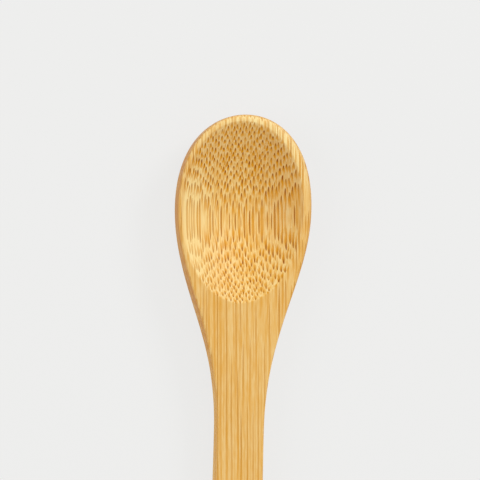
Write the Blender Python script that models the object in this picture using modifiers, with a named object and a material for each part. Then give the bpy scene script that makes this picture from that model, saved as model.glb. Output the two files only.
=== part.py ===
"""A small spoon for creams and salts, carved from one flat lath of bamboo, lying on its back.

Metres, +Z up, +Y towards the tip of the bowl. The origin is on the table, under the middle of the
spoon's length and width. Distances "behind the tip" run from the bowl's tip towards the tail.
"""

import math

import bmesh
import bpy
from mathutils import Matrix, Vector

MM = 0.001

# The outline seen from above
LENGTH = 90.0 * MM
BOWL_WIDTH = 20.0 * MM
BOWL_WIDEST = 13.8 * MM  # behind the tip
NECK_END = 46.4 * MM  # behind the tip, where the neck has become the handle
HANDLE_WIDTH = 7.1 * MM
TAIL_WIDTH = 7.6 * MM
TAIL_ROUND = 3.6 * MM  # length of the rounded end

# How full each curve of the outline is: its pull as a share of its own span
TIP_FULLNESS = 0.50
BOWL_FRONT_FULLNESS = 0.70
BOWL_BACK_FULLNESS = 0.32
NECK_FULLNESS = 0.465
HANDLE_FULLNESS = 0.40
TAIL_FULLNESS = 0.58

# The scooped hollow, widest where the bowl is widest
RIM_LEFT = 0.4 * MM
RIM_RIGHT = 1.35 * MM
RIM_TIP = 1.05 * MM
HOLLOW_LENGTH = 26.6 * MM
HOLLOW_DEPTH = 4.6 * MM
DEEPEST_BACK = 1.35 * MM  # from the widest place back to the deepest
FLOOR_ROUNDNESS = 0.5  # share of the reach that the rounded floor takes before the straight walls
SQUARENESS = 0.6  # 0 for a bowl whose depth lines are egg-shaped, 1 for a trough across the spoon
FLOOR = 1.9 * MM  # thickness under the deepest point

# The flat top face, which slopes from the bowl's rim down to the tail
TAIL_HEIGHT = 3.6 * MM
TOP_EDGE_RUN = 0.35 * MM
TOP_EDGE_DROP = 0.4 * MM

# The underside: a flat sole under the bowl, an arch under the neck and a flat under the tail
SOLE_END = 24.0 * MM  # behind the tip
ARCH_CROWN = 38.0 * MM  # behind the tip
NECK_THICKNESS = 3.7 * MM  # at the arch's crown
TAIL_FLAT = 10.0 * MM  # length of the flat at the tail
UNDER_EDGE_RADIUS = 1.0 * MM

# The rounded back of the bowl: how far in and how far up the rounding goes
SIDE_RUN = 7.0 * MM
SIDE_RISE = 2.8 * MM
TIP_RUN = 10.5 * MM
TIP_RISE = 4.7 * MM
BACK_END = 34.0 * MM  # behind the tip, where the rounding has become a plain edge

# A rounding takes no more than this share of the wall that it is on
MOST_ROUNDING = 0.8

# Steps of each outline curve, of each rounding, and of the tool that cuts the hollow
TIP_STEPS = 20
NECK_STEPS = 20
HANDLE_STEPS = 10
TAIL_STEPS = 9
EDGE_STEPS = 3
WALL_STEPS = 2
BACK_STEPS = 7
SCOOP_SEGMENTS = 64
SCOOP_RINGS = 36

# How far the scoop goes past the hollow's edge, so that it cuts right through the face
SCOOP_OVERSHOOT = 1.12

MERGE = 0.00001
SHARP_ANGLE = math.radians(35)

BAMBOO_COLOUR = (0.775, 0.462, 0.141, 1.0)
BAMBOO_ROUGHNESS = 0.5


def clear_scene():
    """Remove the objects that the file opened with."""
    for obj in list(bpy.data.objects):
        bpy.data.objects.remove(obj, do_unlink=True)


def new_collection(name):
    """A collection of this name in the scene."""
    collection = bpy.data.collections.new(name)
    bpy.context.scene.collection.children.link(collection)
    return collection


def new_object(name, bm, collection):
    """An object made from a bmesh, shaded smooth with its real edges left sharp."""
    bmesh.ops.remove_doubles(bm, verts=bm.verts, dist=MERGE)
    bmesh.ops.recalc_face_normals(bm, faces=bm.faces)
    mesh = bpy.data.meshes.new(name)
    bm.to_mesh(mesh)
    bm.free()
    mesh.shade_smooth()
    mesh.set_sharp_from_angle(angle=SHARP_ANGLE)
    obj = bpy.data.objects.new(name, mesh)
    collection.objects.link(obj)
    return obj


def bamboo():
    """Bare sanded bamboo."""
    material = bpy.data.materials.new("bamboo")
    material.use_nodes = True
    shader = material.node_tree.nodes["Principled BSDF"]
    shader.inputs["Base Color"].default_value = BAMBOO_COLOUR
    shader.inputs["Roughness"].default_value = BAMBOO_ROUGHNESS
    shader.inputs["Metallic"].default_value = 0.0
    material.diffuse_color = BAMBOO_COLOUR
    return material


def smooth(start, end, value):
    """0 before start and 1 after end, with a soft step between them."""
    share = min(max((value - start) / (end - start), 0.0), 1.0)
    return share * share * (3.0 - 2.0 * share)


def bezier(first, first_pull, last_pull, last, steps):
    """Points of one Bezier curve from first to last, last included."""
    points = []
    for step in range(steps + 1):
        t = step / steps
        points.append(
            (1 - t) ** 3 * first
            + 3 * (1 - t) ** 2 * t * first_pull
            + 3 * (1 - t) * t**2 * last_pull
            + t**3 * last
        )
    return points


def along(first, last, first_fullness, last_fullness, steps):
    """A curve that leaves first and reaches last along the spoon's length."""
    span = last.y - first.y
    first_pull = first + Vector((0.0, span * first_fullness))
    last_pull = last - Vector((0.0, span * last_fullness))
    return bezier(first, first_pull, last_pull, last, steps)


def outline():
    """The right half of the outline: (half width, distance behind the tip) from tip to tail."""
    tip = Vector((0.0, 0.0))
    widest = Vector((BOWL_WIDTH / 2, BOWL_WIDEST))
    neck = Vector((HANDLE_WIDTH / 2, NECK_END))
    tail_side = Vector((TAIL_WIDTH / 2, LENGTH - TAIL_ROUND))
    tail = Vector((0.0, LENGTH))
    front = bezier(
        tip,
        tip + Vector((widest.x * TIP_FULLNESS, 0.0)),
        widest - Vector((0.0, BOWL_WIDEST * BOWL_FRONT_FULLNESS)),
        widest,
        TIP_STEPS,
    )
    shoulder = along(widest, neck, BOWL_BACK_FULLNESS, NECK_FULLNESS, NECK_STEPS)
    handle = along(neck, tail_side, HANDLE_FULLNESS, HANDLE_FULLNESS, HANDLE_STEPS)
    end = bezier(
        tail_side,
        tail_side + Vector((0.0, TAIL_ROUND * TAIL_FULLNESS)),
        tail + Vector((tail_side.x * TAIL_FULLNESS, 0.0)),
        tail,
        TAIL_STEPS,
    )
    return front + shoulder[1:] + handle[1:] + end[1:]


def inset(point, across, lengthwise):
    """The outline's point moved inwards: to the bowl's centre, the middle line or the tail's centre."""
    half_width, behind_tip = point
    tail_start = LENGTH - TAIL_ROUND
    if BOWL_WIDEST <= behind_tip <= tail_start:
        return Vector((half_width - across, behind_tip))
    if behind_tip < BOWL_WIDEST:
        centre, full_width, full_length = BOWL_WIDEST, BOWL_WIDTH / 2, BOWL_WIDEST
    else:
        centre, full_width, full_length = tail_start, TAIL_WIDTH / 2, TAIL_ROUND
    keep = 1.0 - across / full_width
    keep_length = 1.0 - lengthwise / full_length
    return Vector((half_width * keep, centre + (behind_tip - centre) * keep_length))


def top_height(behind_tip):
    """Height of the flat top face."""
    rim_height = FLOOR + HOLLOW_DEPTH
    fall = (rim_height - TAIL_HEIGHT) / (LENGTH - BOWL_WIDEST)
    return rim_height - fall * (behind_tip - BOWL_WIDEST)


def under_height(behind_tip):
    """Height of the underside on the middle line: sole, arch under the neck, and tail."""
    arch = top_height(ARCH_CROWN) - NECK_THICKNESS
    rise = smooth(SOLE_END, ARCH_CROWN, behind_tip)
    fall = smooth(ARCH_CROWN, LENGTH - TAIL_FLAT, behind_tip)
    return arch * (rise - fall)


def under_rounding(point):
    """How far in, how far along and how far up the lower edge is rounded at one place."""
    behind_tip = point.y
    edge = UNDER_EDGE_RADIUS
    if behind_tip < BOWL_WIDEST:
        tip_share = (1.0 - behind_tip / BOWL_WIDEST) ** 2
        run = min(SIDE_RUN, MOST_ROUNDING * BOWL_WIDTH / 2)
        along_run = min(TIP_RUN, MOST_ROUNDING * BOWL_WIDEST)
        return run, along_run, SIDE_RISE + (TIP_RISE - SIDE_RISE) * tip_share
    plain_share = smooth(BOWL_WIDEST, BACK_END, behind_tip)
    run = min(SIDE_RUN + (edge - SIDE_RUN) * plain_share, MOST_ROUNDING * point.x)
    if behind_tip > LENGTH - TAIL_ROUND:
        run = min(edge, MOST_ROUNDING * TAIL_WIDTH / 2)
    along_run = min(edge, MOST_ROUNDING * TAIL_ROUND)
    return run, along_run, SIDE_RISE + (edge - SIDE_RISE) * plain_share


def section(point):
    """The points of the skin at one place of the outline, from the top's middle to the sole's middle."""
    wall = top_height(point.y) - under_height(point.y)
    drop = min(TOP_EDGE_DROP, MOST_ROUNDING * wall / 2)
    run, along_run, rise = under_rounding(point)
    rise = min(rise, MOST_ROUNDING * (wall - drop))

    column = []
    for step in range(EDGE_STEPS + 1):
        angle = math.pi / 2 * step / EDGE_STEPS
        inwards = TOP_EDGE_RUN * (1.0 - math.sin(angle))
        place = inset(point, inwards, inwards)
        column.append((place, top_height(place.y) - drop * (1.0 - math.cos(angle))))
    wall_top = column[-1][1]
    wall_foot = under_height(point.y) + rise
    for step in range(1, WALL_STEPS):
        column.append((point, wall_top + (wall_foot - wall_top) * step / WALL_STEPS))
    for step in range(BACK_STEPS + 1):
        angle = math.pi / 2 * step / BACK_STEPS
        share = 1.0 - math.cos(angle)
        place = inset(point, run * share, along_run * share)
        column.append((place, under_height(place.y) + rise * (1.0 - math.sin(angle))))
    first, last = column[0], column[-1]
    column.insert(0, (Vector((0.0, first[0].y)), first[1]))
    column.append((Vector((0.0, last[0].y)), last[1]))
    return [Vector((place.x, LENGTH / 2 - place.y, height)) for place, height in column]


def carved_blank(collection):
    """The lath cut to its outline, thinned under the neck and rounded: half a skin, mirrored."""
    columns = [section(point) for point in outline()]
    bm = bmesh.new()
    bmesh.ops.create_grid(
        bm, x_segments=len(columns) - 1, y_segments=len(columns[0]) - 1, size=0.5
    )
    across = len(columns) - 1
    down = len(columns[0]) - 1
    for vertex in bm.verts:
        column = columns[round((vertex.co.x + 0.5) * across)]
        vertex.co = column[round((vertex.co.y + 0.5) * down)]
    spoon = new_object("spoon", bm, collection)
    mirror = spoon.modifiers.new("other half", "MIRROR")
    mirror.use_axis = (True, False, False)
    mirror.use_clip = True
    mirror.merge_threshold = MERGE
    return spoon


def wall_rise(share):
    """How far up the hollow's wall is at a share of its reach: a rounded floor, then nearly straight."""
    rise = math.hypot(share, FLOOR_ROUNDNESS) - FLOOR_ROUNDNESS
    return rise / (math.hypot(1.0, FLOOR_ROUNDNESS) - FLOOR_ROUNDNESS)


def hollow_depth(across, lengthwise):
    """Depth of the hollow at shares of its half width and of its length to the front or the back.

    It lies between the depth of a bowl and that of a trough, which is as deep all across as the edge
    allows. Past the edge the wall goes on upwards.
    """
    share = math.hypot(across, lengthwise)
    if share > 1.0:
        return HOLLOW_DEPTH * (1.0 - share)
    bowl = 1.0 - wall_rise(share)
    trough = wall_rise(math.sqrt(1.0 - across**2)) - wall_rise(lengthwise)
    return HOLLOW_DEPTH * (bowl + (trough - bowl) * SQUARENESS)


def scoop(collection):
    """The egg-shaped tool that cuts the hollow, square to the top face.

    A ball is spread out: its lower half takes the hollow's form, and its upper half clears the face.
    """
    half_width = (BOWL_WIDTH - RIM_LEFT - RIM_RIGHT) / 2
    front = BOWL_WIDEST - RIM_TIP
    back = HOLLOW_LENGTH - front
    bm = bmesh.new()
    bmesh.ops.create_uvsphere(bm, u_segments=SCOOP_SEGMENTS, v_segments=SCOOP_RINGS, radius=1.0)
    for vertex in bm.verts:
        up = vertex.co.z
        share = math.acos(min(abs(up), 1.0)) / (math.pi / 2) * SCOOP_OVERSHOOT
        level = math.hypot(vertex.co.x, vertex.co.y) or 1.0
        across = vertex.co.x / level * share
        lengthwise = vertex.co.y / level * share
        reach = front if lengthwise > 0.0 else back
        depth = hollow_depth(across, lengthwise)
        backwards = DEEPEST_BACK * max(depth, 0.0) / HOLLOW_DEPTH
        above = HOLLOW_DEPTH * (up + SCOOP_OVERSHOOT - 1.0)
        height = -depth if up <= 0.0 else above
        vertex.co = Vector((across * half_width, lengthwise * reach - backwards, height))
    tool = new_object("scoop", bm, collection)
    tilt = math.atan2(top_height(0.0) - top_height(LENGTH), LENGTH)
    place = Vector(((RIM_LEFT - RIM_RIGHT) / 2, LENGTH / 2 - BOWL_WIDEST, top_height(BOWL_WIDEST)))
    tool.matrix_world = Matrix.Translation(place) @ Matrix.Rotation(tilt, 4, "X")
    tool.hide_render = True
    tool.display_type = "WIRE"
    return tool


def cut(obj, tool):
    """Cut the tool's shape out of the object."""
    boolean = obj.modifiers.new(tool.name, "BOOLEAN")
    boolean.operation = "DIFFERENCE"
    boolean.solver = "EXACT"
    boolean.object = tool


def main():
    clear_scene()
    parts = new_collection("bamboo_spoon")
    cutters = new_collection("cutters")
    spoon = carved_blank(parts)
    spoon.data.materials.append(bamboo())
    cut(spoon, scoop(cutters))


main()
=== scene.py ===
"""A bamboo spoon for creams and salts, on its back on a pale table, with its studio light and camera.

Metres, +Z up, +Y towards the tip of the bowl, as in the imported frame. The places of the outline are
pairs: the half width, and the distance behind the tip. The grain's sizes are in millimetres.
"""

import logging
import math
from collections.abc import Iterator
from dataclasses import dataclass, field
from enum import Enum

import bmesh
import bpy
from mathutils import Color, Matrix, Vector


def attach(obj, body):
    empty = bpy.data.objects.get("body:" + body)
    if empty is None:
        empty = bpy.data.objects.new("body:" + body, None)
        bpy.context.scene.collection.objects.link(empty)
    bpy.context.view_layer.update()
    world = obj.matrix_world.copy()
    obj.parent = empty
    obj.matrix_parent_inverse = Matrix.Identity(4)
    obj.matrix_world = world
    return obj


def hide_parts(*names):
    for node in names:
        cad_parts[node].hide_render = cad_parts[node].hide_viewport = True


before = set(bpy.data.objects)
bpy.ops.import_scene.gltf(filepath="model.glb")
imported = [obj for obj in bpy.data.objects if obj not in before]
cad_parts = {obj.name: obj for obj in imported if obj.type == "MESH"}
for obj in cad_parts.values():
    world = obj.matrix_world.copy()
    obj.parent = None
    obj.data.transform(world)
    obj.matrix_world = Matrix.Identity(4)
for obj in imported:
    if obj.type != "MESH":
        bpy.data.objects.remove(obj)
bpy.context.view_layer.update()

MM = 0.001
FULL_CHANNEL = 255.0
LOG = logging.getLogger("bamboo_spoon")

# The numbers of a Mix node's colour sockets, which share their names with its other sockets.
MIX_FACTOR = 0
MIX_FIRST = 6
MIX_SECOND = 7
MIX_RESULT = 2

# Linear red, green and blue, and opacity, as a shader takes them.
Colour = tuple[float, float, float, float]
# Where a soft step begins, and where it ends.
Span = tuple[float, float]
# A node's own settings, and what its sockets take, by name or number.
Settings = dict[str, object]
Inputs = dict[str | int, object]
# A new corner of a mesh in edit mode, and the layers of values that the mesh keeps at its corners.
NewCorner = tuple[bmesh.types.BMVert, bmesh.types.BMLayerAccessVert]


def smooth(start: float, end: float, value: float) -> float:
    """A soft step from 0 at start to 1 at end."""
    share = min(max((value - start) / (end - start), 0.0), 1.0)
    return share * share * (3.0 - 2.0 * share)


def steps(count: int) -> list[float]:
    """The ends of equal steps from 0 to 1."""
    return [i / count for i in range(1, count + 1)]


def paint(red: int, green: int, blue: int) -> Colour:
    """A display colour, each channel from 0 to 255, as a shader takes it."""
    display = Color((red / FULL_CHANNEL, green / FULL_CHANNEL, blue / FULL_CHANNEL))
    return (*display.from_srgb_to_scene_linear(), 1.0)


def deselect_all() -> None:
    """Leave nothing selected, so that an operator takes only what is picked next."""
    for obj in bpy.context.selected_objects:
        obj.select_set(False)


@dataclass(frozen=True)
class Bend:
    """One Bezier stretch of the outline.

    Attributes:
        start: Where the stretch begins.
        start_pull: What it leaves its start towards.
        end_pull: What it comes to its end from.
        end: Where it ends.
    """

    start: Vector
    start_pull: Vector
    end_pull: Vector
    end: Vector

    def at(self, share: float) -> Vector:
        """The place at a share of the way along the stretch.

        Args:
            share: From 0 at its start to 1 at its end.

        Returns:
            The place.
        """
        rest = 1.0 - share
        first = rest**3 * self.start + 3.0 * rest**2 * share * self.start_pull
        return first + 3.0 * rest * share**2 * self.end_pull + share**3 * self.end


@dataclass(frozen=True)
class SpoonShape:
    """The sizes of the carved spoon and the places that follow from them.

    Attributes:
        length: From the tip of the bowl to the end of the tail.
        bowl_width: Width of the bowl at its widest place.
        bowl_widest: From the tip to that place.
        neck_end: From the tip to where the neck has become the handle.
        handle_width: Width of the handle there.
        tail_width: Width of the handle where the tail's rounding begins.
        tail_round: Length of the tail's rounding.
        tip_fullness: How full the outline is at the tip, as a share of the half width.
        bowl_front_fullness: How full it is from the tip to the widest place, as a share of that length.
        bowl_back_fullness: The same behind the widest place.
        neck_fullness: The same before the end of the neck.
        handle_fullness: The same along the handle.
        tail_fullness: The same round the tail.
        rim_left: Width of the rim between the hollow and the outline on the left.
        rim_right: The same on the right.
        rim_tip: The same at the tip.
        hollow_length: Length of the hollow.
        hollow_depth: Depth of the hollow under the face.
        deepest_back: How far the deepest point lies behind the bowl's centre.
        floor_roundness: How round the floor is, as a share of the hollow's reach.
        squareness: How far the hollow is from a bowl, at 0, towards a trough, at 1.
        floor: Thickness of the wood under the hollow.
        lip_radius: Rounding of the hollow's edge at the front and the sides.
        back_lip_radius: The same at the back.
        back_lip: Where the one radius turns into the other, as the backward part of a unit vector.
        most_lip: The most of the rim that the lip's rounding takes.
        slope_probe: The last share of the hollow's reach, over which the wall's slope is taken.
        tail_height: Height of the face at the tail.
        top_edge_run: How far in the top edge's rounding goes at the tip.
        top_edge_lean: How much further it goes on the right of the bowl, and less on the left.
        handle_edge_run: How far it goes along the handle.
        top_edge_drop: How far down it goes.
        sole_end: From the tip to the end of the flat under the bowl.
        arch_crown: From the tip to the arch's highest place under the neck.
        neck_thickness: Thickness of the neck there.
        tail_flat: Length of the flat under the tail.
        under_edge_radius: Rounding of the lower edge along the handle.
        side_run: How far in the bowl's rounded back goes at its side.
        side_rise: How far up it goes there.
        tip_run: How far along it goes at the tip.
        tip_rise: How far up it goes there.
        back_end: From the tip to where the rounded back has run out.
        most_rounding: The most of a width or a wall that a rounding takes.
    """

    length: float = 90.0 * MM
    bowl_width: float = 20.0 * MM
    bowl_widest: float = 13.8 * MM
    neck_end: float = 46.4 * MM
    handle_width: float = 7.1 * MM
    tail_width: float = 7.6 * MM
    tail_round: float = 3.6 * MM

    tip_fullness: float = 0.50
    bowl_front_fullness: float = 0.70
    bowl_back_fullness: float = 0.32
    neck_fullness: float = 0.465
    handle_fullness: float = 0.40
    tail_fullness: float = 0.58

    rim_left: float = 0.4 * MM
    rim_right: float = 1.35 * MM
    rim_tip: float = 1.05 * MM
    hollow_length: float = 26.6 * MM
    hollow_depth: float = 4.6 * MM
    deepest_back: float = 1.35 * MM
    floor_roundness: float = 0.5
    squareness: float = 0.6
    floor: float = 1.9 * MM
    lip_radius: float = 1.8 * MM
    back_lip_radius: float = 0.5 * MM
    back_lip: Span = (0.2, 0.9)
    most_lip: float = 0.45
    slope_probe: float = 0.01

    tail_height: float = 3.6 * MM
    top_edge_run: float = 0.7 * MM
    top_edge_lean: float = 0.45 * MM
    handle_edge_run: float = 0.3 * MM
    top_edge_drop: float = 0.6 * MM

    sole_end: float = 24.0 * MM
    arch_crown: float = 38.0 * MM
    neck_thickness: float = 3.7 * MM
    tail_flat: float = 10.0 * MM
    under_edge_radius: float = 1.0 * MM

    side_run: float = 7.0 * MM
    side_rise: float = 2.8 * MM
    tip_run: float = 10.5 * MM
    tip_rise: float = 4.7 * MM
    back_end: float = 34.0 * MM
    most_rounding: float = 0.8

    def _widest(self) -> Vector:
        """The bowl's widest place."""
        return Vector((self.bowl_width / 2, self.bowl_widest))

    def _neck(self) -> Vector:
        """Where the neck ends."""
        return Vector((self.handle_width / 2, self.neck_end))

    def _tail_side(self) -> Vector:
        """Where the tail's rounding begins."""
        return Vector((self.tail_width / 2, self.length - self.tail_round))

    @staticmethod
    def _lengthwise(start: Vector, end: Vector, start_fullness: float, end_fullness: float) -> Bend:
        """A stretch that leaves its start and comes to its end along the spoon's length."""
        span = Vector((0.0, end.y - start.y))
        return Bend(start, start + span * start_fullness, end - span * end_fullness, end)

    def front(self) -> Bend:
        """The outline from the tip to the bowl's widest place.

        Returns:
            The stretch, on the right half.
        """
        widest = self._widest()
        tip_pull = Vector((widest.x * self.tip_fullness, 0.0))
        side_pull = widest - Vector((0.0, self.bowl_widest * self.bowl_front_fullness))
        return Bend(Vector((0.0, 0.0)), tip_pull, side_pull, widest)

    def shoulder(self) -> Bend:
        """The outline from the widest place to the end of the neck."""
        return self._lengthwise(self._widest(), self._neck(), self.bowl_back_fullness, self.neck_fullness)

    def handle(self) -> Bend:
        """The outline from the end of the neck to the tail's rounding."""
        return self._lengthwise(self._neck(), self._tail_side(), self.handle_fullness, self.handle_fullness)

    def tail(self) -> Bend:
        """The outline round the tail, to the middle line.

        Returns:
            The stretch, on the right half.
        """
        side = self._tail_side()
        end = Vector((0.0, self.length))
        side_pull = side + Vector((0.0, self.tail_round * self.tail_fullness))
        end_pull = end + Vector((side.x * self.tail_fullness, 0.0))
        return Bend(side, side_pull, end_pull, end)

    def inset(self, point: Vector, across: float, lengthwise: float) -> Vector:
        """A place of the outline moved inwards.

        Args:
            point: The place on the outline, on the right half.
            across: How far it moves at the side of the bowl or the handle.
            lengthwise: How far it moves at the tip or the tail.

        Returns:
            The inner place.
        """
        tail_start = self.length - self.tail_round
        if self.bowl_widest <= point.y <= tail_start:
            return Vector((point.x - across, point.y))
        if point.y < self.bowl_widest:
            centre, full_width, full_length = self.bowl_widest, self.bowl_width / 2, self.bowl_widest
        else:
            centre, full_width, full_length = tail_start, self.tail_width / 2, self.tail_round
        kept_width = 1.0 - across / full_width
        kept_length = 1.0 - lengthwise / full_length
        return Vector((point.x * kept_width, centre + (point.y - centre) * kept_length))

    def top_inset(self, point: Vector, side: float) -> Vector:
        """Where the top edge's rounding ends on the face, inside a place of that side's outline."""
        run = self._edge_run(point, side)
        return self.inset(point, run, run)

    def _edge_run(self, point: Vector, side: float) -> float:
        """How far in the top edge's rounding goes at a place of that side's outline."""
        bowl = self.top_edge_run + side * self.top_edge_lean * point.x / (self.bowl_width / 2)
        return bowl + (self.handle_edge_run - bowl) * smooth(self.bowl_widest, self.back_end, point.y)

    def top_edge(self, point: Vector, side: float, angle: float, drop: float) -> tuple[Vector, float]:
        """A point of the top edge's rounding.

        Args:
            point: The place on the outline, on the right half.
            side: 1 for the right half, -1 for the left.
            angle: 0 on the face, a right angle on the wall.
            drop: Height of the rounding.

        Returns:
            The place on the right half and the height.
        """
        inwards = self._edge_run(point, side) * (1.0 - math.sin(angle))
        place = self.inset(point, inwards, inwards)
        return place, self.top_height(place.y) - drop * (1.0 - math.cos(angle))

    def top_slope(self) -> float:
        """How much the top face falls for each metre towards the tail."""
        return (self.floor + self.hollow_depth - self.tail_height) / (self.length - self.bowl_widest)

    def top_height(self, behind_tip: float) -> float:
        """Height of the flat top face at a distance behind the tip."""
        return self.floor + self.hollow_depth - self.top_slope() * (behind_tip - self.bowl_widest)

    def under_height(self, behind_tip: float) -> float:
        """Height of the underside on the middle line: sole, arch under the neck, and tail.

        Args:
            behind_tip: Distance behind the tip.

        Returns:
            The height over the table.
        """
        arch = self.top_height(self.arch_crown) - self.neck_thickness
        rise = smooth(self.sole_end, self.arch_crown, behind_tip)
        return arch * (rise - smooth(self.arch_crown, self.length - self.tail_flat, behind_tip))

    def under_rounding(self, point: Vector) -> tuple[float, float, float]:
        """The rounding of the lower edge at one place of the outline.

        Args:
            point: The place on the outline, on the right half.

        Returns:
            How far in, how far along and how far up the rounding goes.
        """
        edge = self.under_edge_radius
        if point.y < self.bowl_widest:
            tip_share = (1.0 - point.y / self.bowl_widest) ** 2
            run = min(self.side_run, self.most_rounding * self.bowl_width / 2)
            along = min(self.tip_run, self.most_rounding * self.bowl_widest)
            return run, along, self.side_rise + (self.tip_rise - self.side_rise) * tip_share
        plain_share = smooth(self.bowl_widest, self.back_end, point.y)
        run = self.side_run + (edge - self.side_run) * plain_share
        run = min(run, self.most_rounding * point.x)
        if point.y > self.length - self.tail_round:
            run = min(edge, self.most_rounding * self.tail_width / 2)
        along = min(edge, self.most_rounding * self.tail_round)
        return run, along, self.side_rise + (edge - self.side_rise) * plain_share

    def on_face(self, place: Vector, below: float = 0.0) -> Vector:
        """The point in the frame on the top face at a place, or square below it."""
        point = Vector((place.x, self.length / 2 - place.y, self.top_height(place.y)))
        return point - below * Vector((0.0, -self.top_slope(), 1.0)).normalized()

    def bowl_centre(self) -> Vector:
        """The place in the middle of the hollow's width, at the bowl's widest place."""
        return Vector(((self.rim_left - self.rim_right) / 2, self.bowl_widest))

    def _hollow_halves(self, direction: Vector) -> tuple[float, float]:
        """The size of the hollow's front half or of its back half.

        Args:
            direction: Which way from the bowl's centre.

        Returns:
            Half the hollow's width, and its length from the bowl's centre that way.
        """
        front = self.bowl_widest - self.rim_tip
        half_length = self.hollow_length - front if direction.y > 0.0 else front
        return (self.bowl_width - self.rim_left - self.rim_right) / 2, half_length

    def hollow_reach(self, direction: Vector) -> float:
        """Distance from the bowl's centre to the hollow's egg-shaped edge in one direction."""
        half_width, half_length = self._hollow_halves(direction)
        return 1.0 / math.hypot(direction.x / half_width, direction.y / half_length)

    def _wall_rise(self, share: float) -> float:
        """How far up the wall is at a share of its reach: a rounded floor, then nearly straight."""
        roundness = self.floor_roundness
        return (math.hypot(share, roundness) - roundness) / (math.hypot(1.0, roundness) - roundness)

    def _edge_shares(self, direction: Vector) -> tuple[float, float]:
        """The place of the hollow's edge in one direction.

        Args:
            direction: Which way from the bowl's centre, as a unit vector.

        Returns:
            The place, as shares of the hollow's half width and of its length that way.
        """
        half_width, half_length = self._hollow_halves(direction)
        edge = direction * self.hollow_reach(direction)
        return edge.x / half_width, edge.y / half_length

    def _hollow_below(self, direction: Vector, share: float) -> float:
        """Depth of the hollow: between a bowl with egg-shaped depth lines and a flat-floored trough.

        Args:
            direction: Which way from the bowl's centre, as a unit vector.
            share: How far towards the hollow's edge, from 0 to 1.

        Returns:
            The depth under the face.
        """
        across, lengthwise = self._edge_shares(direction)
        bowl = 1.0 - self._wall_rise(share)
        floor_line = math.sqrt(max(1.0 - (across * share) ** 2, 0.0))
        trough = self._wall_rise(floor_line) - self._wall_rise(lengthwise * share)
        return self.hollow_depth * (bowl + (trough - bowl) * self.squareness)

    def in_hollow(self, direction: Vector, share: float) -> Vector:
        """A point of the hollow's surface.

        Args:
            direction: Which way from the bowl's centre, as a unit vector.
            share: How far towards the hollow's edge, from 0 to 1.

        Returns:
            The point in the frame.
        """
        below = self._hollow_below(direction, share)
        back = Vector((0.0, self.deepest_back * below / self.hollow_depth))
        reach = self.hollow_reach(direction) * share
        return self.on_face(self.bowl_centre() + direction * reach + back, below)

    def _lip_run(self, foot: Vector) -> tuple[float, float]:
        """The size of the lip's rounding on the way to a place of the face.

        Args:
            foot: The place that the way runs to.

        Returns:
            How far the rounding goes over the face, and down the hollow's wall, both seen from above.
        """
        outwards = foot - self.bowl_centre()
        direction = outwards.normalized()
        reach = self.hollow_reach(direction)
        rise = self._hollow_below(direction, 1.0 - self.slope_probe)
        slope = math.atan(rise / (self.slope_probe * reach))
        backward = smooth(*self.back_lip, direction.y)
        radius = self.lip_radius + (self.back_lip_radius - self.lip_radius) * backward
        run = radius * math.tan(slope / 2)
        return min(run, self.most_lip * (outwards.length - reach)), run * math.cos(slope)

    def lip_start(self, foot: Vector) -> float:
        """The share of the hollow's reach where the lip's rounding begins, on the way to a place."""
        direction = (foot - self.bowl_centre()).normalized()
        return 1.0 - self._lip_run(foot)[1] / self.hollow_reach(direction)

    def lip(self, foot: Vector, share: float) -> Vector:
        """A point of the rounded edge between the hollow and the top face.

        Args:
            foot: The place at the other side of the rim, or on the neck, that the way runs to.
            share: 0 where the rounding leaves the hollow, 1 where it meets the face.

        Returns:
            The point in the frame.
        """
        direction = (foot - self.bowl_centre()).normalized()
        reach = self.hollow_reach(direction)
        inner = self.in_hollow(direction, self.lip_start(foot))
        corner = self.on_face(self.bowl_centre() + direction * reach)
        outer = self.on_face(self.bowl_centre() + direction * (reach + self._lip_run(foot)[0]))
        return (1.0 - share) ** 2 * inner + 2.0 * share * (1.0 - share) * corner + share**2 * outer


class RayEnd(Enum):
    """What a ray of the bowl's mesh runs to on the top face."""

    OUTLINE = "outline"
    NECK_LINE = "neck line"


@dataclass(frozen=True)
class Ray:
    """One line of the bowl's mesh, from its floor out over the lip.

    Attributes:
        end: What the ray runs to.
        side: 1 on the right of the spoon, -1 on the left.
        outline: The place of the outline that it belongs to, on the right half.
        across: The share of the half width where the ray crosses the neck line.
    """

    end: RayEnd
    side: float
    outline: Vector
    across: float = 1.0

    def foot(self, shape: SpoonShape) -> Vector:
        """Where the ray ends on the top face.

        Args:
            shape: The spoon's sizes.

        Returns:
            The sideways place and the distance behind the tip.
        """
        right = shape.top_inset(self.outline, 1.0)
        left = shape.top_inset(self.outline, -1.0)
        if self.end is RayEnd.OUTLINE:
            return right if self.side > 0.0 else Vector((-left.x, left.y))
        return Vector((self.across * (right.x if self.across > 0.0 else left.x), right.y))

    def direction(self, shape: SpoonShape) -> Vector:
        """The ray's way from the bowl's centre, as a unit vector."""
        return (self.foot(shape) - shape.bowl_centre()).normalized()


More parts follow.
